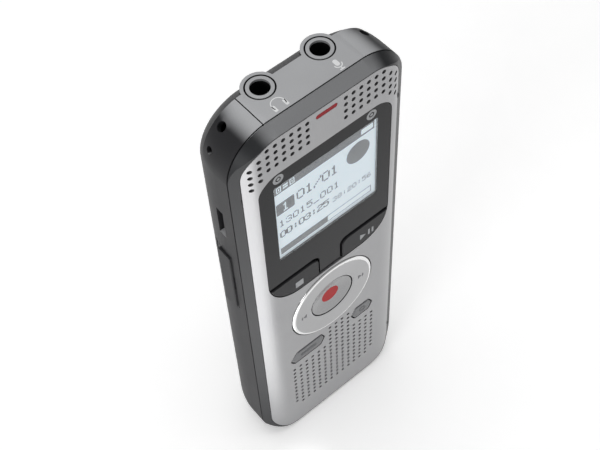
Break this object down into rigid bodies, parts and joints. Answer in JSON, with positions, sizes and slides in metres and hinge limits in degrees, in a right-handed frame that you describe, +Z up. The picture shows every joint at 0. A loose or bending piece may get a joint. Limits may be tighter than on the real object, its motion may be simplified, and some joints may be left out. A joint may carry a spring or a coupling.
{
  "type": "handheld voice recorder",
  "caption": "Slim metal-faced pocket voice recorder for dictation, with a display, a rocking ring round a red-dotted record button, sprung keys, sliding battery door and card door.",
  "frame": {"origin": "centre of the bottom end, under the middle of the bounding box", "axes": "+Z up to the sockets end, +X across the width towards the hold switch, -Y out of the face"},
  "size_m": [0.0386, 0.019, 0.108],
  "materials": {
    "face_metal": "satin, brushed along the height",
    "case_grey": "fine satin paint",
    "band_grey": "fine satin paint",
    "cap_black": "fine matt",
    "window": "polished, dark",
    "display_glass": "grey-green liquid crystal behind glass",
    "light_guide": "translucent white",
    "frame_plastic": "moulded white",
    "key_black": "satin",
    "leaf_grey": "smoky, semi-gloss",
    "ring_chrome": "satin plated with bright bevel",
    "button_grey": "plated, semi-gloss",
    "record_red": "glossy inlay",
    "light_red": "translucent red",
    "silicone": "matt",
    "boot_rubber": "matt",
    "board_green": "glass fibre board, green resist",
    "chip_black": "moulded",
    "steel": "bright",
    "screw_steel": "blackened",
    "collar_grey": "pale moulding",
    "jack_black": "moulded",
    "cell_sleeve": "printed film sleeve over steel can",
    "foam": "open foam"
  },
  "bodies": {
    "case": {"front_plate": "face_metal", "front_housing": "band_grey", "rear_housing": "case_grey", "top_cap": "cap_black", "display_lens": "window", "lcd_panel": "display_glass", "lcd_backlight": "light_guide", "lcd_tray": "frame_plastic", "keypad": "silicone", "dome_switches": "steel", "main_board": "board_green", "board_chips": "chip_black", "led_light_pipe": "light_red", "record_lamp": "light_guide", "microphones": "steel", "mic_boots": "boot_rubber", "speaker": "steel", "speaker_gasket": "foam", "headphone_jack": "jack_black", "microphone_jack": "jack_black", "headphone_collar": "collar_grey", "microphone_collar": "collar_grey", "battery_left": "cell_sleeve", "battery_right": "cell_sleeve", "battery_springs": "steel", "battery_contacts": "steel", "case_screws": "screw_steel", "usb_socket": "steel", "card_socket": "steel", "card_door_pin": "steel", "hold_switch_body": "jack_black"},
    "play key": {"play_key": "key_black"},
    "stop key": {"stop_key": "key_black"},
    "menu key": {"menu_key": "leaf_grey"},
    "index key": {"index_key": "leaf_grey"},
    "record button": {"record_button": "button_grey", "record_dot": "record_red"},
    "ring gimbal": {"ring_gimbal": "steel"},
    "navigation ring": {"nav_ring": "ring_chrome"},
    "hold switch": {"hold_switch": "key_black"},
    "card door": {"card_door": "case_grey"},
    "battery door": {"battery_door": "case_grey"}
  },
  "joints": [
    {"name": "play_key_press", "type": "slide", "parent": "case", "child": "play key", "axis": [0, 1, 0], "range_m": [0, 0.0003], "stiffness_N_per_m": 1500, "springref_m": -0.0001},
    {"name": "stop_key_press", "type": "slide", "parent": "case", "child": "stop key", "axis": [0, 1, 0], "range_m": [0, 0.0003], "stiffness_N_per_m": 1500, "springref_m": -0.0001},
    {"name": "menu_key_press", "type": "slide", "parent": "case", "child": "menu key", "axis": [0, 1, 0], "range_m": [0, 0.0003], "stiffness_N_per_m": 1500, "springref_m": -0.0001},
    {"name": "index_key_press", "type": "slide", "parent": "case", "child": "index key", "axis": [0, 1, 0], "range_m": [0, 0.0003], "stiffness_N_per_m": 1500, "springref_m": -0.0001},
    {"name": "record_button_press", "type": "slide", "parent": "case", "child": "record button", "axis": [0, 1, 0], "range_m": [0, 0.0003], "stiffness_N_per_m": 1500, "springref_m": -0.0001},
    {"name": "ring_rock_up_down", "type": "hinge", "parent": "case", "child": "ring gimbal", "pos_m": [0, -0.0076, 0.0457], "axis": [1, 0, 0], "range_deg": [-1.2, 1.2], "stiffness_Nm_per_rad": 0.3},
    {"name": "ring_rock_left_right", "type": "hinge", "parent": "ring gimbal", "child": "navigation ring", "pos_m": [0, -0.0076, 0.0457], "axis": [0, 0, 1], "range_deg": [-1.2, 1.2], "stiffness_Nm_per_rad": 0.3},
    {"name": "hold_switch_slide", "type": "slide", "parent": "case", "child": "hold switch", "axis": [0, 0, -1], "range_m": [0, 0.003]},
    {"name": "card_door_hinge", "type": "hinge", "parent": "case", "child": "card door", "pos_m": [-0.0184, 0.00045, 0.0651], "axis": [0, 0, -1], "range_deg": [0, 90]},
    {"name": "battery_door_slide", "type": "slide", "parent": "case", "child": "battery door", "axis": [0, 0, -1], "range_m": [0, 0.008]}
  ]
}
